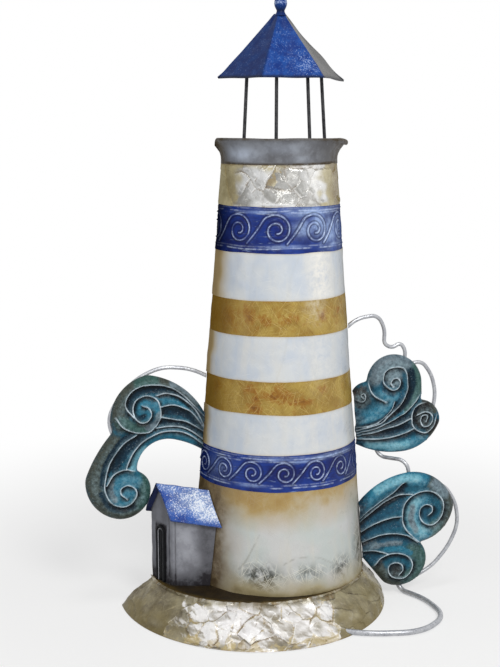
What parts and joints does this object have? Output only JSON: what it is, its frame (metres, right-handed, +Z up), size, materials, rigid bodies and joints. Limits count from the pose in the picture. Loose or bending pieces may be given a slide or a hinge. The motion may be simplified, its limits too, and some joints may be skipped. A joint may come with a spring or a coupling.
{
  "type": "lighthouse ornament",
  "caption": "Half-round lighthouse ornament: banded tapering tower with open lantern, small hut, flared base and embossed scroll waves held on bent rods.",
  "frame": {"origin": "tower's axis at floor level, in the flat back plane, on the back rail's foot", "axes": "+Z up along the tower's axis, -Y towards the front, +X to the viewer's right"},
  "size_m": [0.286, 0.1095, 0.4471],
  "materials": {
    "base_nacre": "crumpled shell flakes under lacquer",
    "deck_dark": "dark lacquer",
    "back_steel": "dark painted steel",
    "core_steel": "dull painted steel",
    "shell_cream": "lacquered shell with fibres",
    "shell_white": "pearly shell",
    "shell_gold": "amber shell with spots",
    "shell_nacre": "crumpled silver and gold shell",
    "scroll_blue": "blue enamel with worn raised lines",
    "collar_grey": "satin grey lacquer",
    "post_steel": "dark bare rod",
    "roof_blue": "glossy blue with fine flakes",
    "hut_grey": "grey lacquered sheet",
    "hut_roof_blue": "sparkling blue",
    "hut_door_dark": "dark lacquer",
    "wave_teal": "teal patina, worn bright ridges",
    "wire_silver": "bare silver rod"
  },
  "bodies": {
    "root": {"base_skirt": "base_nacre", "base_deck": "deck_dark", "base_back_rail": "back_steel", "tower_shell": "core_steel", "shell_wrap_bottom": "shell_cream", "scroll_band_lower": "scroll_blue", "white_wrap_lower": "shell_white", "gold_wrap_lower": "shell_gold", "white_wrap_middle": "shell_white", "gold_wrap_upper": "shell_gold", "white_wrap_upper": "shell_white", "scroll_band_upper": "scroll_blue", "nacre_wrap_top": "shell_nacre", "back_brace_lower": "back_steel", "back_brace_middle": "back_steel", "back_brace_upper": "back_steel", "gallery_collar": "collar_grey", "gallery_floor": "back_steel", "lantern_post_1": "post_steel", "lantern_post_2": "post_steel", "lantern_post_3": "post_steel", "lantern_post_4": "post_steel", "lantern_roof": "roof_blue", "finial": "roof_blue", "hut_walls": "hut_grey", "hut_roof": "hut_roof_blue", "hut_door": "hut_door_dark", "wave_left": "wave_teal", "wave_upper_right": "wave_teal", "wave_lower_right": "wave_teal", "wire_left": "wire_silver", "wire_right_top": "wire_silver", "wire_right_side": "wire_silver", "wire_right_outer": "wire_silver", "wire_right_link": "wire_silver", "wire_foot": "wire_silver"}
  },
  "joints": []
}
